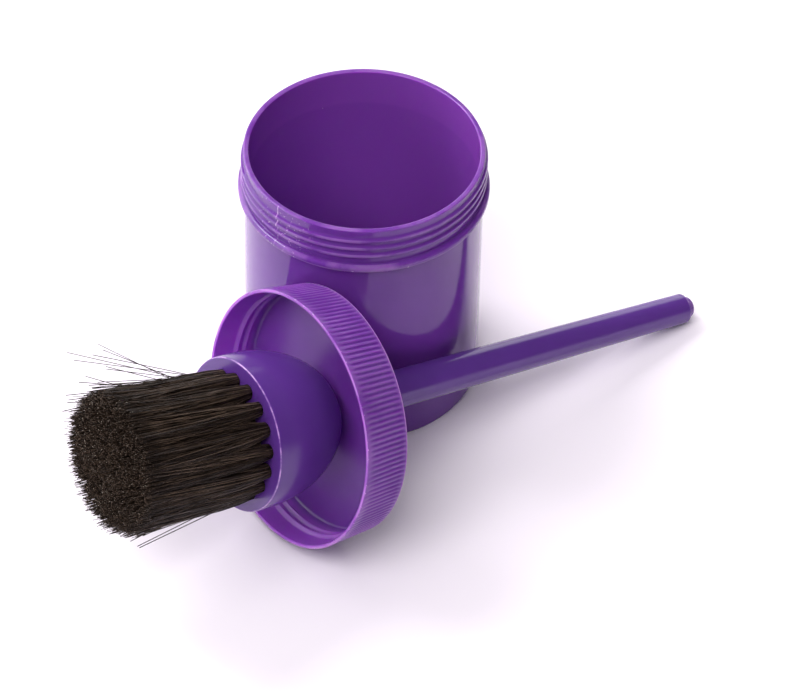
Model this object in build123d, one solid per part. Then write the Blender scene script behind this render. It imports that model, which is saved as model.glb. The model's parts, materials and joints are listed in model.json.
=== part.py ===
from build123d import *
import math
import os

# An applicator brush that lives in the screw lid of its own wide-mouth pot.
# The pot stands open. The brush and its lid lie beside it, resting on the lid's
# closed edge and on the handle's tip. Millimetres, +Z up. The origin is the centre
# of the pot's base, on the surface, and +X is the way the handle points.

# ---- driving dimensions ----
# pot
jar_height = 100.0
neck_radius = 41.0            # outside of the neck, at the bottom of the thread
body_radius = 40.8
mouth_radius = 39.2           # inside of the neck
cavity_radius = 38.4          # inside of the body, below the ledge
jar_floor = 1.8
base_edge = 1.8               # rounding of the base's edge
cavity_corner = 3.5           # rounding where the cavity's wall meets its floor
rim_edge = 0.45
ledge_depth = 13.9            # from the rim down to the ledge inside the neck
collar_radius = 42.9          # widest ring, under the thread
collar_depth = 16.1           # from the rim to the middle of that ring
collar_width = 2.4
collar_edge = 1.1

# screw thread, right-handed, one start
thread_pitch = 3.35
thread_height = 0.9
thread_top = 1.6              # from the rim to the first crest
jar_thread_turns = 3.4
lid_thread_turns = 2.0
lid_thread_start = 7.0        # from the lid's mouth to the first crest inside it
thread_overlap = 0.6          # how far the lid's thread reaches past the crest of the pot's
thread_root_width = 2.5
thread_crest_width = 0.9
thread_bite = 0.5             # how far a thread's root is sunk in its wall

# lid, measured along the handle from the plane of its mouth
lid_depth = 17.7
lid_mouth_radius = 44.6       # outside, at the mouth
lid_back_radius = 43.0        # outside, at the closed end
lid_wall = 1.2
lid_disc = 1.6
lid_back_edge = 0.5           # rounding of the closed edge
lid_mouth_edge = 0.25
lid_corner = 1.0              # rounding inside, where the skirt meets the disc
rib_count = 150
rib_depth = 0.45              # of the grooves between the ribs, at the closed end
rib_mouth_depth = 0.3         # of the grooves, at the mouth
rib_start = 1.2               # the ribs rise from a smooth band at the mouth
rib_rise = 2.0                # length over which they rise
rib_end = 16.9
rib_width = 0.9
rib_bite = 0.4                # how far a rib's root is sunk in the skirt

# brush stock: one moulding of handle and head
head_radius = 26.5
head_mouth = 22.0             # how far the head's face stands out of the lid's mouth
head_straight = 6.0           # length of the head's straight part
head_edge = 0.6               # rounding of the head's rim
seat_radius = 8.0             # shoulder that the lid's disc sits against
dome_steps = 4                # stretches of the curve from the straight part to the seat
handle_radius = 6.9
handle_tip_radius = 5.4
handle_tip_edge = 0.6
handle_end = 174.4            # from the plane of the lid's mouth to the shoulder at the tip
nub_radius = 3.8              # small round end that stands out of the tip
nub_length = 2.8
nub_edge = 1.0
running_gap = 0.05            # radial, between the handle and the lid's hole
end_play = 0.15               # along the handle, each side of the lid's disc
snap_height = 0.5             # ridge that keeps the lid on
snap_width = 1.4
snap_edge = 0.4

# bristles
ring_spacing = 6.6            # between rings of tufts, outwards from the centre one
ring_counts = {"inner": 6, "middle": 12, "outer": 17}
hole_radius = 2.5
hole_depth = 9.0
tuft_gap = 0.05               # between a tuft and its hole
tuft_radius = 3.2             # of a tuft's free length
tuft_spread = 5.0             # length over which a tuft opens out to that
bristle_length = 50.0         # free length of the outer ring, from the head's face
tip_dome = 2.0                # how much longer the centre tuft is
tip_edge = 1.2
anchor_length = 5.3           # longer than the hole is wide, so that it bites
anchor_width = 1.6
anchor_thickness = 0.4
anchor_depth = 8.0            # from the head's face to the anchor's far edge
anchor_gap = 0.05             # between the anchor and the tuft folded round it

# where the brush lies
brush_start = -63.6           # X of the centre of the lid's mouth
brush_aside = 47.6            # from the pot's axis to the handle's, in plan

# ---- worked out from these ----
disc_inner = lid_depth - lid_disc
lid_inner_mouth = lid_mouth_radius - lid_wall
lid_inner_back = lid_back_radius - lid_wall
lid_slope = (lid_mouth_radius - lid_back_radius) / lid_depth
lid_thread_crest = neck_radius + thread_height - thread_overlap
seat = disc_inner - end_play
snap_start = lid_depth + end_play
snap_end = snap_start + snap_width
dome_base = head_straight - head_mouth
dome_height = (seat - dome_base) / math.sqrt(1 - (seat_radius / head_radius) ** 2)
outer_ring_radius = ring_spacing * len(ring_counts)


def resting_tilt():
    """Slope of the handle when the lid's closed edge and the tip both touch the surface."""
    rise = (lid_back_radius - lid_back_edge) - (handle_tip_radius - handle_tip_edge)
    run = (handle_end - handle_tip_edge) - (lid_depth - lid_back_edge)
    edges = handle_tip_edge - lid_back_edge
    return math.acos(edges / math.hypot(rise, run)) - math.atan2(run, rise)


tilt = resting_tilt()
axis_height = (
    (lid_back_radius - lid_back_edge) * math.cos(tilt)
    + (lid_depth - lid_back_edge) * math.sin(tilt)
    + lid_back_edge
)

# The lid and the brush are drawn upright: Z runs along the handle towards its tip,
# from the plane of the lid's mouth. This lays them down where they rest.
laid_down = Plane(
    origin=(brush_start, -brush_aside, axis_height),
    x_dir=(0, -1, 0),
    z_dir=(math.cos(tilt), 0, -math.sin(tilt)),
).location


def turned(outline):
    """Turn an outline about Z. Each corner is its radius, its height and its rounding."""
    face = make_face(Polyline(*[(radius, height) for radius, height, edge in outline], close=True))
    for radius, height, edge in outline:
        if edge > 0:
            corner = face.vertices().sort_by_distance((radius, height, 0))[0]
            face = fillet(corner, edge)
    return revolve(Plane.XZ * face, Axis.Z, 360)


def screw_thread(lowest, turns, wall, crest):
    """A right-handed ridge about Z, from its lowest turn up, out of a wall to a crest."""
    outward = 1 if crest > wall else -1
    root = wall - outward * thread_bite
    path = Pos(0, 0, lowest) * Helix(thread_pitch, thread_pitch * turns, root)
    height = abs(crest - root)
    section = make_face(
        Polyline(
            (0, -thread_root_width / 2),
            (height, -thread_crest_width / 2),
            (height, thread_crest_width / 2),
            (0, thread_root_width / 2),
            close=True,
        )
    )
    start = Plane(origin=path @ 0, x_dir=(outward, 0, 0), z_dir=path % 0)
    return sweep(start * section, path=path, is_frenet=True)


def make_jar():
    """Wide-mouth pot, one moulding with its thread and the collar below it."""
    collar_top = jar_height - collar_depth + collar_width / 2
    collar_low = collar_top - collar_width
    ledge = jar_height - ledge_depth
    pot = turned([
        (0, 0, 0),
        (body_radius, 0, base_edge),
        (body_radius, collar_low, 0),
        (collar_radius, collar_low, collar_edge),
        (collar_radius, collar_top, collar_edge),
        (neck_radius, collar_top, 0),
        (neck_radius, jar_height, rim_edge),
        (mouth_radius, jar_height, rim_edge),
        (mouth_radius, ledge, 0),
        (cavity_radius, ledge - (mouth_radius - cavity_radius), 0),
        (cavity_radius, jar_floor, cavity_corner),
        (0, jar_floor, 0),
    ])
    lowest = jar_height - thread_top - thread_pitch * jar_thread_turns
    return pot + screw_thread(lowest, jar_thread_turns, neck_radius, neck_radius + thread_height)


def skirt_radius(height):
    """Outside of the lid's skirt, over its ribs, at a height above the mouth."""
    return lid_mouth_radius - lid_slope * height


def grip_ribs():
    """Fine ribs round the skirt, a little taller towards the closed end."""
    groove = skirt_radius(rib_end) - rib_depth
    side = make_face(
        Polyline(
            (skirt_radius(rib_start) - rib_bite, rib_start),
            (skirt_radius(rib_start), rib_start),
            (skirt_radius(rib_end), rib_end),
            (groove - rib_bite, rib_end),
            close=True,
        )
    )
    rib = extrude(Plane.XZ * side, rib_width / 2, both=True)
    return [Rot(0, 0, 360 / rib_count * number) * rib for number in range(rib_count)]


def make_lid():
    """Screw lid with a hole for the handle, ribs outside and a thread inside."""
    hole = handle_radius + running_gap
    shell = turned([
        (hole, disc_inner, 0),
        (lid_inner_back, disc_inner, lid_corner),
        (lid_inner_mouth, 0, lid_mouth_edge),
        (lid_mouth_radius, 0, lid_mouth_edge),
        (skirt_radius(rib_start), rib_start, 0),
        (skirt_radius(rib_start + rib_rise) - rib_mouth_depth, rib_start + rib_rise, 0),
        (skirt_radius(rib_end) - rib_depth, rib_end, 0),
        (skirt_radius(rib_end), rib_end, 0),
        (lid_back_radius, lid_depth, lid_back_edge),
        (hole, lid_depth, 0),
    ])
    wall = lid_inner_mouth - lid_slope * (lid_thread_start + thread_pitch * lid_thread_turns)
    ridge = screw_thread(lid_thread_start, lid_thread_turns, wall, lid_thread_crest)
    return shell + ridge + grip_ribs()


def make_brush_stock(hole_places):
    """Handle and bell-shaped head in one moulding, with a blind hole for each tuft."""
    rim = head_radius - head_edge
    tip = handle_end - handle_tip_edge
    nub_end = handle_end + nub_length
    to_seat = math.acos(seat_radius / head_radius)
    angles = [to_seat * step / dome_steps for step in range(dome_steps + 1)]
    dome = [(head_radius * math.cos(a), dome_base + dome_height * math.sin(a)) for a in angles]
    profile = make_face([
        Line((0, -head_mouth), (rim, -head_mouth)),
        CenterArc((rim, head_edge - head_mouth), head_edge, -90, 90),
        Line((head_radius, head_edge - head_mouth), (head_radius, dome_base)),
        Spline(dome),
        Polyline((seat_radius, seat), (handle_radius, seat), (handle_radius, snap_end),
                 (handle_tip_radius, tip)),
        CenterArc((handle_tip_radius - handle_tip_edge, tip), handle_tip_edge, 0, 90),
        Polyline((handle_tip_radius - handle_tip_edge, handle_end), (nub_radius, handle_end),
                 (nub_radius, nub_end - nub_edge)),
        CenterArc((nub_radius - nub_edge, nub_end - nub_edge), nub_edge, 0, 90),
        Polyline((nub_radius - nub_edge, nub_end), (0, nub_end), (0, -head_mouth)),
    ])
    moulding = revolve(Plane.XZ * profile, Axis.Z, 360)
    snap_ridge = turned([
        (handle_radius - snap_edge, snap_start, 0),
        (handle_radius + snap_height, snap_start, snap_edge / 2),
        (handle_radius + snap_height, snap_end, snap_edge),
        (handle_radius - snap_edge, snap_end, 0),
    ])
    drill = Cylinder(hole_radius, hole_depth, align=(Align.CENTER, Align.CENTER, Align.MIN))
    holes = [place * Pos(0, 0, -head_mouth) * drill for place in hole_places]
    return moulding + snap_ridge - holes


def make_tuft(distance):
    """Bristles of one hole as a plain closed solid, folded round their anchor."""
    root = hole_depth - head_mouth - tuft_gap
    spread = -head_mouth - tuft_spread
    dome = tip_dome * (1 - (distance / outer_ring_radius) ** 2)
    tip = -head_mouth - bristle_length - dome
    bundle = turned([
        (0, root, 0),
        (hole_radius - tuft_gap, root, 0),
        (hole_radius - tuft_gap, -head_mouth, 0),
        (tuft_radius, spread, 0),
        (tuft_radius, tip, tip_edge),
        (0, tip, 0),
    ])
    slot = Box(2 * tuft_radius, anchor_thickness + 2 * anchor_gap, anchor_width + 2 * anchor_gap)
    return bundle - Pos(0, 0, anchor_height()) * slot


def anchor_height():
    """Height of an anchor's middle in its hole."""
    return anchor_depth - anchor_width / 2 - head_mouth


def make_anchor():
    """Flat metal strip that holds a folded tuft in its hole."""
    return Pos(0, 0, anchor_height()) * Box(anchor_length, anchor_thickness, anchor_width)


def ring_places(count, distance):
    """Where the tufts of one ring stand, seen from the handle's axis."""
    return [Rot(0, 0, 360 / count * number) * Pos(distance, 0, 0) for number in range(count)]


# ---- the pieces ----
tuft_places = {"tuft_centre": (Pos(0, 0, 0), 0)}
for ring, (ring_name, count) in enumerate(ring_counts.items(), start=1):
    for number, place in enumerate(ring_places(count, ring * ring_spacing), start=1):
        tuft_places[f"tuft_{ring_name}_{number:02d}"] = (place, ring * ring_spacing)

places = [place for place, distance in tuft_places.values()]
pieces = {
    "jar": make_jar(),
    "lid": laid_down * make_lid(),
    "brush_stock": laid_down * make_brush_stock(places),
    "tuft_anchors": laid_down * Compound(children=[place * make_anchor() for place in places]),
}
for name, (place, distance) in tuft_places.items():
    pieces[name] = laid_down * place * make_tuft(distance)

os.makedirs("parts", exist_ok=True)
for name, piece in pieces.items():
    export_step(piece, f"parts/{name}.step")
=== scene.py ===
import bpy
import json
import math
import numpy as np
from mathutils import Matrix, Vector


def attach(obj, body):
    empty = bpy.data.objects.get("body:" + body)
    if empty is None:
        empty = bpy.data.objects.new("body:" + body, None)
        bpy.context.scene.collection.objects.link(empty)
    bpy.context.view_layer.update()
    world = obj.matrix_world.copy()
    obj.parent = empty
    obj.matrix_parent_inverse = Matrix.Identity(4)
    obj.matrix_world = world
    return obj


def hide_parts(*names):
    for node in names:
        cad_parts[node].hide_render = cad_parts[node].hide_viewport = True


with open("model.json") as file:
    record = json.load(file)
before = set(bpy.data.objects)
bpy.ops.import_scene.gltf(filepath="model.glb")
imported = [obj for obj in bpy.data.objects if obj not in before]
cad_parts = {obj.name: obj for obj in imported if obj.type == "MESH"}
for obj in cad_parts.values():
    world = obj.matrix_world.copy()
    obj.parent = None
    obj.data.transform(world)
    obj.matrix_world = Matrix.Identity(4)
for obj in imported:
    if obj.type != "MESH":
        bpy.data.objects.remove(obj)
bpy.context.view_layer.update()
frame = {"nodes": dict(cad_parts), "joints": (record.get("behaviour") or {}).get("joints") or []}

MM = 0.001
TAU = 2 * math.pi
UP = Vector((0, 0, 1))

# ---- where the brush lies: its axis runs from the lid's mouth to the handle's tip ----
LID_JOINT_ALONG = 17.0 * MM            # the lid's joint stands this far from the mouth plane
lid_joint = next(joint for joint in frame["joints"] if joint["name"] == "lid_turn")
axis = Vector(lid_joint["axis"]).normalized()
mouth = Vector(lid_joint["pos_m"]) - axis * LID_JOINT_ALONG
side = Vector((0, -1, 0))
lift = axis.cross(side)
LAID_DOWN = Matrix.Translation(mouth) @ Matrix((side, lift, axis)).transposed().to_4x4()
UPRIGHT = Matrix.Identity(4)

# ---- the pot, in millimetres: radii, and heights above its foot ----
JAR_HEIGHT = 100.0
JAR_FLOOR = 1.8
FOOT_ROUNDING = 1.8
BODY = 40.8
NECK = 41.0
BORE = 39.2
RIM_ROUNDING = 0.45
CAVITY = 38.4
CAVITY_ROUNDING = 3.5
LEDGE = 86.1
LEDGE_TAPER = 34.0                     # the step inside the neck is drawn as a long taper
COLLAR = 42.9
COLLAR_MIDDLE = 83.9
COLLAR_HALF = 1.2
COLLAR_SLOPE = 1.6                     # from the collar's middle up to where it meets the neck
PARTING = math.radians(190.5)          # where the pot's mould parts, seen from above
PARTING_HALF = math.radians(0.5)
PARTING_HEIGHT = 0.07
JAR_COLUMNS = 720

# ---- the thread on the pot and in the lid ----
PITCH = 3.35
THREAD_HEIGHT = 0.9
THREAD_TOP = 1.6                       # the pot's thread ends this far below its rim
THREAD_FADE = 8                        # a ridge rises from nothing over 1/8 of a turn
JAR_TURNS = 3.4
JAR_RIDGE = (2.6, 0.8)                 # widths of the ridge at its root and at its crest
LID_TURNS = 2.0
LID_THREAD_START = 7.0
LID_RIDGE = (2.0, 0.4)
LID_CREST = 41.3

# ---- the lid, measured up the handle from its mouth ----
LID_DEPTH = 17.7
LID_MOUTH = 44.6
LID_BACK = 43.0
LID_WALL = 1.2
LID_DISC = 1.6
SKIRT = 40.0                           # the lid's skirt lies outside this radius
LID_SLOPE = (LID_MOUTH - LID_BACK) / LID_DEPTH
RIBS = 150
RIB_DEPTH = 0.45
RIB_MOUTH_DEPTH = 0.3
RIB_START = 1.2
RIB_RISE = 2.0                         # the grooves deepen over this length at the mouth
RIB_FALL = 0.5                         # and end over this one at the back
RIB_END = 16.9
GROOVE_SHARE = 0.15                    # share of a rib's pitch that is flat groove
FLANK_SHARE = 0.65                     # and the share that its sides take
LID_COLUMNS = 8 * RIBS

# ---- the brush ----
HEAD = 26.5
HEAD_MOUTH = 22.0
HANDLE = 6.9
HANDLE_GAP = 0.05                      # between the handle and the lid's hole
HANDLE_TIP = 5.4
TIP_SHOULDER = 174.4
RING_SPACING = 6.6
RINGS = {"inner": 6, "middle": 12, "outer": 17}
OUTER_RING = RING_SPACING * len(RINGS)
HOLE = 2.5
BRISTLE_LENGTH = 50.0

# ---- the bristles ----
FIBRES_PER_TUFT = 260
FIBRE_RADIUS = 0.125
FIBRE_TIP_RADIUS = 0.110
FIBRE_SIDES = 3
FIBRE_TURN = 2.4                       # from one fibre's corners to the next one's, in radians
CUT_END = 0.25                         # length of the pale cut end of a fibre
STATIONS = np.array([-1.5, 1.5, 6.0, 13.0, 22.0, 32.0, 42.0, BRISTLE_LENGTH - CUT_END, BRISTLE_LENGTH])
STATIONS = STATIONS / BRISTLE_LENGTH   # places along a fibre, as shares of its length
TIP_DOME = 1.2                         # the middle of the brush is this much longer
BUNDLE = HOLE - 0.2                    # radius of a tuft's bundle in its hole
FAN = 0.75                             # how much wider a tuft gets once out of its hole
FAN_LENGTH = 7.0
SPLAY = 0.018                          # lean of the outer ring, away from the middle
SWEEP = np.array([-0.008, -0.040])     # the whole brush leans a little to one side
LOCKS = 6                              # groups in each tuft that keep together
UNEVEN = 0.6                           # spread of lengths, of locks and of fibres
SHORT_SHARE = 0.25                     # this many fibres are shorter by some of SHORTER
SHORTER = 1.6
DRIFT = 0.045                          # spread of a fibre's lean, and of a lock's
LOCK_DRIFT = 0.032
WILD_SHARE = 0.22                      # this many fibres lean further, by WILD_DRIFT
WILD_DRIFT = 0.085
BEND = 0.00035
TIP_REACH = (19.8, 23.4)               # fibres past a radius in this range are drawn back in
PULL = 0.9
TUFT_SHADE = (0.6, 1.1)                # how light a tuft's fibres may be
SHADE_POWER = 2.5                      # most of them are darker than that
PAINTED_SHADE_BY_END = 0.2                      # and each is painted darker just before its cut end, for the shade between the hairs
FIRST_SEED = 11

# ---- the stray hairs ----
STRAY_RADIUS = 0.17
STRAY_LENGTH = (42, 53)
STRAY_ASIDE = 0.05
STRAY_CURVE = 0.0012
STRAY_SHADE = (0, 0.3)
STRAY_SEED = 5
UPPER_SIDE = -2.37                     # angles about the axis of the brush's upper and lower
LOWER_SIDE = 0.77                      # outlines, as it lies
STRAY_GROUPS = [
    # how many, outline, spread about it, root radii, leans
    (11, UPPER_SIDE, 0.35, (8, 20), (0.24, 0.48)),
    (2, UPPER_SIDE, 0.20, (10, 12), (0.60, 0.66)),
    (44, UPPER_SIDE, 0.32, (16, 20.5), (0.03, 0.18)),
    (6, LOWER_SIDE, 0.30, (18, 20.5), (0.07, 0.16)),
]

# ---- colours ----
PURPLE_DEEP = (0.124, 0.028, 0.260)
PURPLE_PALE = (0.138, 0.033, 0.285)
PURPLE_PAINTED_GLOW = (0.240, 0.058, 0.415)    # painted glow, where light would come through a wall from outside
PURPLE_STRESSED_AND_HIGHLIT = (0.62, 0.36, 0.72)   # plastic turned pale by a knock or a mould edge, and the colour of painted highlights on edges and crests
STOCK_TINT = (0.70, 0.95, 0.82)        # the brush is a little bluer and deeper
HAIR_DARK = (0.011, 0.006, 0.004)
HAIR_LIGHT = (0.175, 0.118, 0.084)
HAIR_CUT = (0.85, 0.75, 0.64)
STEEL = (0.52, 0.50, 0.46)
STEEL_STAINED = (0.38, 0.34, 0.29)
FLOOR_COLOUR = (0.90, 0.835, 0.905)
PAINTED_GLOW_BELOW_NECK = 0.74                       # share of the painted glow kept on the pot's inside wall below its neck


# ---- turned shapes ----
ARC_STEPS = 5
SUPPORT = 0.12                         # from a rounding to the extra point on each side of it


def rounded(corners, spacing):
    """Points along an outline of (radius, height, rounding) corners, with a point close to
    each end of a rounding so that the shading of flat stretches stays flat. Long stretches
    are divided, about spacing(middle point) apart."""
    points = [np.array(corners[0][:2], float)]
    for before, here, after in zip(corners, corners[1:], corners[2:]):
        a, b, c = (np.array(corner[:2], float) for corner in (before, here, after))
        rounding = here[2]
        u, v = (a - b) / np.linalg.norm(a - b), (c - b) / np.linalg.norm(c - b)
        half = math.acos(np.clip(u @ v, -1, 1)) / 2
        reach = rounding / math.tan(half)
        centre = b + (u + v) / np.linalg.norm(u + v) * rounding / math.sin(half)
        start, end = b + u * reach, b + v * reach
        points.append(start + u * SUPPORT)
        for step in range(ARC_STEPS + 1):
            chord = start + (end - start) * step / ARC_STEPS
            points.append(centre + (chord - centre) / np.linalg.norm(chord - centre) * rounding)
        points.append(end + v * SUPPORT)
    points.append(np.array(corners[-1][:2], float))
    return divided(points, spacing)


def divided(points, spacing):
    """The same outline with its long stretches divided."""
    out = [points[0]]
    for a, b in zip(points, points[1:]):
        steps = max(1, math.ceil(np.linalg.norm(b - a) / spacing((a + b) / 2)))
        out += [a + (b - a) * step / steps for step in range(1, steps + 1)]
    return out


def lathe(name, points, columns, place, relief):
    """A surface turned about Z from outline points in millimetres. relief(radius, height,
    angles) is added to the radius of a ring. A point on the axis closes the surface."""
    angles = np.arange(columns) * TAU / columns
    rings, verts, faces = [], [], []
    for radius, height in points:
        if radius < 1e-6:
            rings.append([len(verts)])
            verts.append((0, 0, height))
            continue
        reach = radius + relief(radius, height, angles)
        rings.append(list(range(len(verts), len(verts) + columns)))
        verts += zip(reach * np.cos(angles), reach * np.sin(angles), np.full(columns, height))
    for low, high in zip(rings, rings[1:]):
        for here in range(columns):
            beside = (here + 1) % columns
            if len(low) == 1:
                faces.append((low[0], high[beside], high[here]))
            elif len(high) == 1:
                faces.append((low[here], low[beside], high[0]))
            else:
                faces.append((low[here], low[beside], high[beside], high[here]))
    return solid(name, np.array(verts) * MM, faces, place)


def solid(name, verts, faces, place):
    """A smooth-shaded mesh object from vertices in metres, put in place in the row frame."""
    mesh = bpy.data.meshes.new(name)
    mesh.from_pydata([tuple(v) for v in verts], [], faces)
    mesh.transform(place)
    mesh.update()
    mesh.validate()
    mesh.polygons.foreach_set("use_smooth", [True] * len(mesh.polygons))
    piece = bpy.data.objects.new(name, mesh)
    bpy.context.scene.collection.objects.link(piece)
    return piece


def finish(piece, body, nodes, material):
    """Give a piece its material and its body, and hide the CAD nodes that it stands for."""
    piece.data.materials.append(material)
    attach(piece, body)
    if nodes:
        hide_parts(*nodes)


def smooth(share):
    return share * share * (3 - 2 * share)


def ridge(height, angles, start, turns, widths):
    """How far up a helical ridge's side each angle is at this height: 0 off it, 1 on its
    crest. widths are the ridge's own, at its root and its crest."""
    phase = angles / TAU
    nearest = np.round((height - start) / PITCH - phase)
    turn = np.clip(nearest + phase, 0, turns)
    away = np.abs(height - start - turn * PITCH)
    ends = np.clip(np.minimum(turn, turns - turn) * THREAD_FADE, 0, 1)
    root, crest = widths
    flank = np.clip((root / 2 - away) / (root / 2 - crest / 2), 0, 1)
    return smooth(flank) * smooth(ends)


def make_jar(material):
    neck_foot, neck_top = COLLAR_MIDDLE + 1.8, JAR_HEIGHT - 0.4
    thread_foot = JAR_HEIGHT - THREAD_TOP - PITCH * JAR_TURNS

    def spacing(point):
        threaded = point[0] > NECK - 0.1 and point[1] > COLLAR_MIDDLE
        return 0.3 if threaded else 12

    outline = rounded([
        (0, 0, 0), (BODY, 0, FOOT_ROUNDING), (BODY, COLLAR_MIDDLE - COLLAR_HALF, 0.15),
        (COLLAR, COLLAR_MIDDLE - COLLAR_HALF, 0.7), (COLLAR, COLLAR_MIDDLE + COLLAR_HALF, 1.15),
        (NECK, COLLAR_MIDDLE + COLLAR_SLOPE, 0.3),
        (NECK, JAR_HEIGHT, RIM_ROUNDING), (BORE, JAR_HEIGHT, RIM_ROUNDING),
        (BORE, LEDGE, 3.0), (CAVITY, LEDGE - LEDGE_TAPER, 20.0),
        (CAVITY, JAR_FLOOR, CAVITY_ROUNDING), (0, JAR_FLOOR, 0),
    ], spacing)

    def relief(radius, height, angles):
        """The thread and the mould's parting line, on the neck alone."""
        if radius < NECK - 0.05 or not neck_foot <= height <= neck_top:
            return 0 * angles
        parting = np.abs((angles - PARTING + math.pi / 2) % math.pi - math.pi / 2)
        flash = PARTING_HEIGHT * np.clip(1 - parting / PARTING_HALF, 0, 1)
        return THREAD_HEIGHT * ridge(height, angles, thread_foot, JAR_TURNS, JAR_RIDGE) + flash

    jar = lathe("jar_shell", outline, JAR_COLUMNS, UPRIGHT, relief)
    finish(jar, "jar", ["jar"], material)


def make_lid(material):
    disc = LID_DEPTH - LID_DISC
    hole = HANDLE + HANDLE_GAP

    def spacing(point):
        inner_wall = SKIRT < point[0] < LID_MOUTH - LID_WALL + 0.1
        return 0.4 if inner_wall and 1 < point[1] < disc - 0.5 else 2

    outline = rounded([
        (hole, disc, 0), (LID_BACK - LID_WALL, disc, 1.0), (LID_MOUTH - LID_WALL, 0, 0.25),
        (LID_MOUTH, 0, 0.25), (LID_BACK, LID_DEPTH, 0.5),
        (hole, LID_DEPTH, 0.15), (hole, disc, 0),
    ], spacing)

    def grooves(height, angles):
        """The grooves between the ribs, deeper towards the back."""
        across = np.abs((angles * RIBS / TAU) % 1 - 0.5) * 2
        rib = smooth(np.clip((across - GROOVE_SHARE) / FLANK_SHARE, 0, 1))
        back = (height - RIB_START) / (RIB_END - RIB_START)
        depth = RIB_MOUTH_DEPTH + (RIB_DEPTH - RIB_MOUTH_DEPTH) * back
        rise = min(1, (height - RIB_START) / RIB_RISE, (RIB_END - height) / RIB_FALL)
        return -depth * rise * (1 - rib)

    def relief(radius, height, angles):
        outside = radius > LID_MOUTH - LID_SLOPE * height - LID_WALL / 2
        if outside and RIB_START < height < RIB_END:
            return grooves(height, angles)
        if not outside and 1.0 < height < disc - 0.9 and radius > SKIRT:
            return (LID_CREST - radius) * ridge(height, angles, LID_THREAD_START, LID_TURNS, LID_RIDGE)
        return 0 * angles

    lid = lathe("lid_shell", outline, LID_COLUMNS, LAID_DOWN, relief)
    finish(lid, "lid", ["lid"], material)


# ---- bristles ----
def tubes(name, paths, radii, shades):
    """One mesh of thin tapered tubes: paths is fibres x stations x 3, in millimetres in
    the frame whose Z runs up the handle; the tubes run down it. The points carry a shade:
    0 to about 1 along a fibre, from dark to light, and 1 to 2 on its cut end."""
    fibres, stations = paths.shape[:2]
    corners = np.arange(FIBRE_SIDES)
    turns = (np.arange(fibres) * FIBRE_TURN)[:, None] + corners * TAU / FIBRE_SIDES
    around = np.stack([np.cos(turns), np.sin(turns), 0 * turns], -1)
    rings = paths[:, :, None, :] + radii[None, :, None, None] * around[:, None, :, :]
    first = np.arange(fibres)[:, None] * stations * FIBRE_SIDES
    ring = first[:, :, None] + np.arange(stations - 1)[None, :, None] * FIBRE_SIDES
    here = ring + corners
    beside = ring + (corners + 1) % FIBRE_SIDES
    walls = np.stack([here, here + FIBRE_SIDES, beside + FIBRE_SIDES, beside], -1).reshape(-1, 4)
    tips = first + (stations - 1) * FIBRE_SIDES + corners[::-1]
    roots = first + corners
    faces = walls.tolist() + tips.tolist() + roots.tolist()
    piece = solid(name, rings.reshape(-1, 3) * MM, faces, LAID_DOWN)
    values = np.repeat(shades[:, None], stations * FIBRE_SIDES, axis=1)
    # painted shade just before each cut end
    values[:, -2 * FIBRE_SIDES:-FIBRE_SIDES] *= PAINTED_SHADE_BY_END
    values[:, -FIBRE_SIDES:] = 1 + cut_ends(shades)[:, None]
    layer = piece.data.attributes.new("shade", "FLOAT", "POINT")
    layer.data.foreach_set("value", values.ravel().astype(np.float32))
    return piece


def cut_ends(shades):
    """How pale each cut end is, from 0 to 1, few of them much: worked out from the shade."""
    return ((shades * 7.31) % 1) ** 5


def tuft_paths(rng, centre, count):
    """Centre lines of one tuft's fibres: out of the hole in a tight bundle, fanning out
    and crossing, with a few locks that keep together towards the tip."""
    distance = np.linalg.norm(centre)
    outwards = centre / max(distance, 1e-6)
    rho = BUNDLE * np.sqrt(rng.random(count))
    phi = TAU * rng.random(count)
    offset = np.stack([rho * np.cos(phi), rho * np.sin(phi)], -1)
    mine = rng.integers(0, LOCKS, count)
    dome = TIP_DOME * (1 - (distance / OUTER_RING) ** 2)
    length = BRISTLE_LENGTH + dome + rng.normal(0, UNEVEN, LOCKS)[mine] + rng.normal(0, UNEVEN, count)
    length -= np.abs(rng.normal(0, SHORTER, count)) * (rng.random(count) < SHORT_SHARE)
    along = STATIONS[None, :] * length[:, None]
    free = np.clip(along, 0, None)
    drift = rng.normal(0, DRIFT, (count, 2)) + rng.normal(0, LOCK_DRIFT, (LOCKS, 2))[mine]
    wild = rng.random(count) < WILD_SHARE
    drift[wild] += rng.normal(0, WILD_DRIFT, (wild.sum(), 2))
    spot = centre + drift * BRISTLE_LENGTH + offset * (1 + FAN)
    beyond = np.linalg.norm(spot, axis=1) - rng.uniform(*TIP_REACH, count)
    inward = -spot / np.linalg.norm(spot, axis=1)[:, None]
    drift += inward * (np.clip(beyond, 0, None) / BRISTLE_LENGTH)[:, None] * PULL
    bend = rng.normal(0, BEND, (count, 2))
    fanned = 1 + FAN * (1 - np.exp(-free / FAN_LENGTH))
    plan = offset[:, None] * fanned[..., None] + drift[:, None] * free[..., None]
    plan += bend[:, None] * (free ** 2)[..., None]
    plan += outwards * SPLAY * free[..., None] * (distance / OUTER_RING) + centre
    plan += SWEEP * (free ** 1.5 / BRISTLE_LENGTH ** 0.5)[..., None]
    return np.concatenate([plan, (-HEAD_MOUTH - along)[..., None]], -1)


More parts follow.
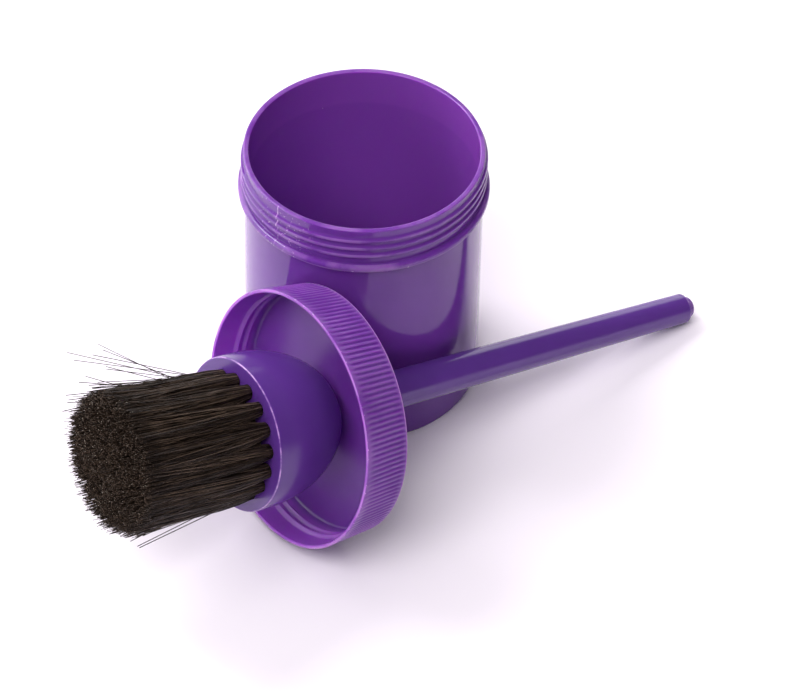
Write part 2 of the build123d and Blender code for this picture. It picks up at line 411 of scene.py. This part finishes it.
def make_tufts(material):
    radii = FIBRE_RADIUS + (FIBRE_TIP_RADIUS - FIBRE_RADIUS) * np.clip(STATIONS, 0, 1)
    centres = {"tuft_centre": np.zeros(2)}
    for ring, (ring_name, count) in enumerate(RINGS.items(), start=1):
        for number in range(count):
            turn = TAU * number / count
            spot = ring * RING_SPACING * np.array([math.cos(turn), math.sin(turn)])
            centres[f"tuft_{ring_name}_{number + 1:02d}"] = spot
    for seed, (node, centre) in enumerate(centres.items(), start=FIRST_SEED):
        rng = np.random.default_rng(seed)
        paths = tuft_paths(rng, centre, FIBRES_PER_TUFT)
        shades = rng.random(FIBRES_PER_TUFT) ** SHADE_POWER * rng.uniform(*TUFT_SHADE)
        piece = tubes(node.replace("tuft", "bristles"), paths, radii, shades)
        finish(piece, "brush", [node], material)


def make_strays(material):
    """Hairs that stand away from the brush: long ones above it, loose ones along its
    upper edge and a few below."""
    rng = np.random.default_rng(STRAY_SEED)
    turn, start, lean = [], [], []
    for count, outline, spread, roots, leans in STRAY_GROUPS:
        turn.append(outline + rng.uniform(-spread, spread, count))
        start.append(rng.permutation(np.linspace(*roots, count)))
        lean.append(rng.permutation(np.linspace(*leans, count)))
    turn, start, lean = (np.concatenate(parts) for parts in (turn, start, lean))
    hairs = len(turn)
    aside = rng.normal(0, STRAY_ASIDE, hairs)
    curve = rng.normal(0, STRAY_CURVE, hairs)
    length = rng.uniform(*STRAY_LENGTH, hairs)
    outward = np.stack([np.cos(turn), np.sin(turn)], -1)
    around = np.stack([-np.sin(turn), np.cos(turn)], -1)
    along = STATIONS[None, :] * length[:, None]
    free = np.clip(along, 0, None)
    plan = outward[:, None] * (start[:, None] + lean[:, None] * free)[..., None]
    plan += around[:, None] * (aside[:, None] * free + curve[:, None] * free ** 2)[..., None]
    paths = np.concatenate([plan, (-HEAD_MOUTH - along)[..., None]], -1)
    radii = np.full(len(STATIONS), STRAY_RADIUS)
    piece = tubes("bristles_stray", paths, radii, rng.uniform(*STRAY_SHADE, hairs))
    finish(piece, "brush", [], material)


# ---- materials ----
class Nodes:
    """Short calls for building one material's node tree. Where a call takes a value, it
    takes a socket or a plain number."""

    def __init__(self, name):
        self.material = bpy.data.materials.new(name)
        self.material.use_nodes = True
        self.tree = self.material.node_tree
        self.shader = self.tree.nodes["Principled BSDF"]

    def feed(self, socket, value):
        if isinstance(value, bpy.types.NodeSocket):
            self.tree.links.new(value, socket)
        else:
            socket.default_value = value

    def add(self, kind, inputs=(), **settings):
        node = self.tree.nodes.new(kind)
        for key, value in settings.items():
            setattr(node, key, value)
        for key, value in dict(inputs).items():
            self.feed(node.inputs[key], value)
        return node

    def link(self, socket, value):
        self.feed(self.shader.inputs[socket], value)

    def place(self):
        return self.add("ShaderNodeTexCoord").outputs["Object"]

    def noise(self, scale, detail=3.0, roughness=0.55):
        return self.add("ShaderNodeTexNoise", {
            "Vector": self.place(), "Scale": scale, "Detail": detail, "Roughness": roughness,
        }).outputs["Fac"]

    def remap(self, value, low, high, to_low=0.0, to_high=1.0):
        return self.add("ShaderNodeMapRange", {
            "Value": value, "From Min": low, "From Max": high, "To Min": to_low, "To Max": to_high,
        }, interpolation_type="SMOOTHSTEP").outputs["Result"]

    def chain(self, operation, *values):
        """One math operation carried through all the values in turn."""
        total = values[0]
        for value in values[1:]:
            node = self.add("ShaderNodeMath", operation=operation)
            self.feed(node.inputs[0], total)
            self.feed(node.inputs[1], value)
            total = node.outputs[0]
        return total

    def plus(self, *values):
        return self.chain("ADD", *values)

    def times(self, *values):
        return self.chain("MULTIPLY", *values)

    def strongest(self, *values):
        return self.chain("MAXIMUM", *values)

    def vector(self, operation, first, second):
        node = self.add("ShaderNodeVectorMath", operation=operation)
        self.feed(node.inputs[0], first)
        self.feed(node.inputs[1], second)
        return node.outputs["Value" if operation in ("DOT_PRODUCT", "LENGTH") else "Vector"]

    def turned(self, origin, direction):
        """Millimetres along an axis and out from it, of the point being shaded."""
        arm = self.vector("SUBTRACT", self.place(), tuple(origin))
        along = self.vector("DOT_PRODUCT", arm, tuple(direction))
        out = self.vector("LENGTH", self.vector("CROSS_PRODUCT", arm, tuple(direction)), (0, 0, 0))
        return self.times(along, 1000.0), self.times(out, 1000.0)

    def towards(self, angle):
        """Millimetres from the pot's axis in a level direction, of the point being shaded."""
        direction = (1000 * math.cos(angle), 1000 * math.sin(angle), 0)
        return self.vector("DOT_PRODUCT", self.place(), direction)

    def band(self, value, middle, half, soft=0.5):
        """1 within half of the middle, falling to 0 over a stretch of half * soft."""
        away = self.chain("ABSOLUTE", self.plus(value, -middle), 0.0)
        return self.remap(away, half, half * (1 + soft), 1, 0)

    def above(self, value, threshold, soft):
        return self.remap(value, threshold, threshold + soft)

    def specks(self, scale, size, share):
        """Small round specks in some cells of a scattered pattern."""
        cells = self.add("ShaderNodeTexVoronoi", {"Vector": self.place(), "Scale": scale})
        dot = self.remap(cells.outputs["Distance"], size, size * 0.4)
        pick = self.vector("DOT_PRODUCT", cells.outputs["Color"], (1, 0, 0))
        return self.times(dot, self.above(pick, 1 - share, 0.02))

    def mix(self, share, first, second):
        """A colour between two, each a socket or (red, green, blue)."""
        factor, colour_a, colour_b, result = 0, 6, 7, 2     # a Mix node's sockets for colours
        node = self.add("ShaderNodeMix", data_type="RGBA")
        self.feed(node.inputs[factor], share)
        for index, colour in ((colour_a, first), (colour_b, second)):
            plain = not isinstance(colour, bpy.types.NodeSocket)
            self.feed(node.inputs[index], (*colour, 1) if plain else colour)
        return node.outputs[result]


def plastic(name, roughness, pale_and_glow_masks, waviness, depth, specular=0.5, tint=(1, 1, 1)):
    """Purple moulded plastic. The masks function, given the nodes, gives two masks from 0 to 1: where
    the plastic is pale, partly worn and partly a painted highlight, and where a glow is painted
    for light coming through it from behind, which may be None."""
    n = Nodes(name)
    cloudy = n.remap(n.noise(35, detail=4), 0.3, 0.7)
    deep, pale = ([c * t for c, t in zip(colour, tint)] for colour in (PURPLE_DEEP, PURPLE_PALE))
    colour = n.mix(cloudy, deep, pale)
    marks = n.specks(110, size=0.030, share=0.08)
    worn_and_highlit, glow = pale_and_glow_masks(n)
    if glow is not None:
        # painted glow, for light coming through the wall from behind
        colour = n.mix(glow, colour, PURPLE_PAINTED_GLOW)
    colour = n.mix(n.times(marks, 0.55), colour, PURPLE_STRESSED_AND_HIGHLIT)
    # pale where worn, and painted highlights on edges and crests
    colour = n.mix(worn_and_highlit, colour, PURPLE_STRESSED_AND_HIGHLIT)
    n.link("Base Color", colour)
    smear = n.remap(n.noise(60, detail=2, roughness=0.5), 0.3, 0.75, *roughness)
    n.link("Roughness", n.plus(smear, n.times(worn_and_highlit, 0.25)))
    n.link("IOR", 1.47)
    n.link("Specular IOR Level", specular)
    n.link("Subsurface Weight", depth)
    n.link("Subsurface Radius", (1.0, 0.2, 0.9))
    n.link("Subsurface Scale", 0.003)
    swell = n.times(n.noise(22, detail=2), waviness)
    grain = n.times(n.noise(1100), 0.000006)
    height = n.plus(swell, grain)
    bump = n.add("ShaderNodeBump", {"Height": height, "Strength": 1.0, "Distance": 1.0})
    n.link("Normal", bump.outputs["Normal"])
    return n.material


def jar_worn_and_painted_light(n):
    """Pale rim and thread crests, partly worn and partly painted highlight, a knocked collar edge, a
    bruised parting line, and a painted glow on the inside wall that is weaker below the neck and fades
    out towards the floor.
    """
    up, out = n.turned((0, 0, 0), UP)
    patchy = n.remap(n.noise(60, detail=4), 0.35, 0.65)
    chipped = n.above(n.noise(700, roughness=0.7), 0.60, 0.05)
    neck = n.times(n.above(up, COLLAR_MIDDLE - 1.6, 0.2), n.above(out, NECK - 0.6, 0.2))
    # pale rim: partly worn, partly a painted highlight
    rim = n.times(n.above(up, JAR_HEIGHT - RIM_ROUNDING, 0.3), n.remap(patchy, 0, 1, 0.03, 0.18))
    # pale thread crests: partly dust, partly a painted highlight
    crests = n.times(n.above(out, NECK + 0.55, 0.3), neck, n.remap(patchy, 0, 1, 0.0, 0.22))
    collar_edge = n.band(up, COLLAR_MIDDLE - 0.9, half=0.35, soft=1.0)
    collar_edge = n.times(collar_edge, n.above(out, NECK + 1.0, 0.3))

    across = n.towards(PARTING - math.pi / 2)
    this_side = n.above(n.towards(PARTING), 0, 1)
    parting = n.times(n.band(across, 0, half=0.16, soft=1.2), this_side, neck)
    parting = n.times(parting, n.remap(n.noise(450, detail=2), 0.4, 0.6, 0.15, 0.6))
    bruised = n.times(n.band(across, -1.5, half=3.0, soft=4.0), this_side, neck, chipped)

    pale = n.strongest(
        rim, crests, n.times(collar_edge, chipped, 0.8), n.times(collar_edge, 0.15),
        n.times(bruised, 0.6), parting,
    )
    # painted glow on the inside wall, for light coming through it, weaker below the neck and fading
    # out towards the pot's floor
    inside = n.remap(out, BORE + 0.25, BORE + 0.1)
    painted_glow_height = n.remap(up, LEDGE - 1.2, LEDGE + 0.6, PAINTED_GLOW_BELOW_NECK, 1.0)
    return pale, n.times(inside, n.remap(up, 3, 12), painted_glow_height)


def lid_worn_and_painted_light(n):
    """Pale mouth rim, back edge and rib crests, partly worn and partly painted highlight, with chips
    by the mouth, and a painted glow on the inside of the skirt that fades out towards the disc.
    """
    along, out = n.turned(mouth, axis)
    patchy = n.remap(n.noise(70, detail=4), 0.35, 0.65)
    chipped = n.above(n.noise(800, roughness=0.7), 0.60, 0.05)
    # pale mouth rim and back edge: partly worn, partly a painted highlight
    rim = n.times(n.remap(along, 0.25, 0.05), n.above(out, LID_MOUTH - 0.95, 0.3))
    rim = n.times(rim, n.remap(patchy, 0, 1, 0.12, 0.42))
    chips = n.times(n.remap(along, 0.8, 0.4), n.above(out, LID_MOUTH - 0.5, 0.1), chipped, 0.7)
    back = n.band(along, LID_DEPTH - 0.25, half=0.3, soft=0.7)
    back = n.times(back, n.above(out, LID_BACK - 0.9, 0.2))

    skin = n.plus(out, n.times(along, LID_SLOPE))       # the outside's radius at the mouth
    # pale rib crests: partly worn, partly a painted highlight
    crests = n.times(n.above(skin, LID_MOUTH - 0.22, 0.2), n.remap(patchy, 0, 1, 0.06, 0.15))
    pale = n.strongest(rim, n.times(back, 0.45), chips, crests)

    # painted glow on the inside of the skirt, for light coming through it
    inner = n.remap(skin, LID_MOUTH - 0.4, LID_MOUTH - 0.7)
    off_disc = n.remap(along, LID_DEPTH - 2.4, LID_DEPTH - 5.0)
    return pale, n.times(inner, n.above(out, LID_CREST - 1.5, 1.2), off_disc)


def stock_pale_and_highlit(n):
    """Pale rim of the head, partly worn and partly a painted highlight, and pale shoulder of the
    handle's tip and nub beyond it.
    """
    along, out = n.turned(mouth, axis)
    patchy = n.remap(n.noise(260, detail=5, roughness=0.7), 0.35, 0.65, 0.15, 1.0)
    # pale head rim: partly worn, partly a painted highlight
    head_rim = n.band(along, 0.15 - HEAD_MOUTH, half=0.12, soft=1.2)
    head_rim = n.times(head_rim, n.above(out, HEAD - 0.45, 0.15))
    tip = n.times(n.band(along, TIP_SHOULDER - 0.2, half=0.5), n.above(out, HANDLE_TIP - 0.6, 0.2))
    nub = n.above(along, TIP_SHOULDER + 0.3, 0.2)
    pale = n.strongest(
        n.times(head_rim, patchy, 0.75), n.times(tip, patchy, 0.3), n.times(nub, patchy, 0.25),
    )
    return pale, None


def anchor_metal():
    n = Nodes("anchor_steel")
    stain = n.remap(n.noise(900), 0.4, 0.65)
    n.link("Base Color", n.mix(stain, STEEL, STEEL_STAINED))
    n.link("Metallic", 1.0)
    n.link("Roughness", n.remap(n.noise(2500, detail=2), 0.3, 0.7, 0.3, 0.5))
    return n.material


def bristle():
    n = Nodes("dark_bristle")
    shade = n.add("ShaderNodeAttribute", attribute_name="shade").outputs["Fac"]
    dusty = n.remap(n.noise(160), 0.35, 0.65, 0.7, 1.2)
    not_end = n.remap(shade, 1.0, 0.98)
    hair_colour = n.mix(n.times(shade, dusty, not_end), HAIR_DARK, HAIR_LIGHT)
    n.link("Base Color", n.mix(n.remap(shade, 1.2, 2.0), hair_colour, HAIR_CUT))
    n.link("Roughness", n.remap(shade, 0, 1, 0.38, 0.5))
    n.link("Specular IOR Level", 0.4)
    return n.material


# ---- camera and stage ----
CAMERA_AT = Vector((-656.57, -927.45, 1133.55)) * MM
CAMERA_FORWARD = Vector((0.41688, 0.57420, -0.70463))
CAMERA_ROLL = math.radians(1.35)
CAMERA_LENS = 204.5
CAMERA_SENSOR = 36
NEAREST_SEEN = 0.05
FLOOR_REACH = 6.0
FLOOR_BELOW = 0.00005                  # keeps the floor clear of the faces that stand on it
AMBIENT = 0.08

LEFT = Vector((-0.81, 0.59, 0))        # level directions, as the camera sees them
BACK = Vector((0.58, 0.81, 0))
OBJECT = (0, 0, 0.03)                  # where most lights aim, low in the object
LIGHTS = [
    # name, position, aim, size, watts, seen in reflections
    ("key", LEFT * 0.9 + BACK * 0.9 + UP * 1.3, OBJECT, (1.6, 1.2), 16, True),
    ("lamp", LEFT * 1.0 + BACK * 0.5 + UP * 1.5, OBJECT, (0.6, 0.6), 11, True),
    ("strip", BACK * 2.2 - LEFT * 0.1 + UP * 0.75, OBJECT, (1.8, 1.0), 9, True),
    ("front", LEFT * 0.5 - BACK * 1.0 + UP * 1.6, OBJECT, (1.2, 0.8), 24, False),
    ("fill", -LEFT * 0.4 - BACK * 1.0 + UP * 1.4, OBJECT, (1.2, 0.8), 5, False),
    ("overhead", UP * 2.0, (0, 0, 0), (1.5, 1.5), 10, False),
    ("backdrop", BACK * 2.4 + UP * 0.7, (0, 0, 0.5), (6.0, 1.4), 15, True),
    ("left_panel", LEFT * 2.2 + UP * 0.6, (0, 0, 0.4), (3.0, 1.2), 26, True),
]


def make_camera():
    forward = CAMERA_FORWARD.normalized()
    level = forward.cross(UP).normalized()
    above = level.cross(forward)
    right = level * math.cos(CAMERA_ROLL) + above * math.sin(CAMERA_ROLL)
    up = above * math.cos(CAMERA_ROLL) - level * math.sin(CAMERA_ROLL)
    data = bpy.data.cameras.new("camera")
    data.sensor_width = CAMERA_SENSOR
    data.lens = CAMERA_LENS
    data.clip_start = NEAREST_SEEN
    camera = bpy.data.objects.new("camera", data)
    turn = Matrix((right, up, -forward)).transposed().to_4x4()
    camera.matrix_world = Matrix.Translation(CAMERA_AT) @ turn
    bpy.context.scene.collection.objects.link(camera)
    bpy.context.scene.camera = camera


def make_floor():
    mesh = bpy.data.meshes.new("floor")
    corners = [(x * FLOOR_REACH, y * FLOOR_REACH, 0) for x, y in ((-1, -1), (1, -1), (1, 1), (-1, 1))]
    mesh.from_pydata(corners, [], [(0, 1, 2, 3)])
    floor = bpy.data.objects.new("floor", mesh)
    floor.location.z = -FLOOR_BELOW
    bpy.context.scene.collection.objects.link(floor)
    n = Nodes("floor_paper")
    n.link("Base Color", (*FLOOR_COLOUR, 1))
    n.link("Roughness", 0.9)
    n.link("Specular IOR Level", 0.1)
    mesh.materials.append(n.material)


def make_world():
    world = bpy.data.worlds.new("studio")
    world.use_nodes = True
    background = world.node_tree.nodes["Background"]
    background.inputs["Color"].default_value = (1, 1, 1, 1)
    background.inputs["Strength"].default_value = AMBIENT
    bpy.context.scene.world = world
    bpy.context.scene.view_settings.view_transform = "Standard"


def area_light(name, position, target, size, watts, in_reflections):
    data = bpy.data.lights.new(name, "AREA")
    data.shape = "RECTANGLE"
    data.size, data.size_y = size
    data.energy = watts
    light = bpy.data.objects.new(name, data)
    light.location = position
    light.rotation_euler = (Vector(target) - position).to_track_quat("-Z", "Y").to_euler()
    light.visible_glossy = in_reflections
    bpy.context.scene.collection.objects.link(light)


make_camera()
make_floor()
make_world()
for light_settings in LIGHTS:
    area_light(*light_settings)

hair = bristle()
make_jar(plastic("jar_plastic", (0.05, 0.12), jar_worn_and_painted_light, waviness=0.00003, depth=0.7))
make_lid(plastic("lid_plastic", (0.29, 0.37), lid_worn_and_painted_light, waviness=0.00006, depth=0.95, specular=0.36))
make_tufts(hair)
make_strays(hair)

stock_plastic = plastic(
    "stock_plastic", (0.15, 0.24), stock_pale_and_highlit, waviness=0.00006, depth=0.35, tint=STOCK_TINT,
)
for name, material in (("brush_stock", stock_plastic), ("tuft_anchors", anchor_metal())):
    node = frame["nodes"][name]
    node.data.materials.clear()
    node.data.materials.append(material)
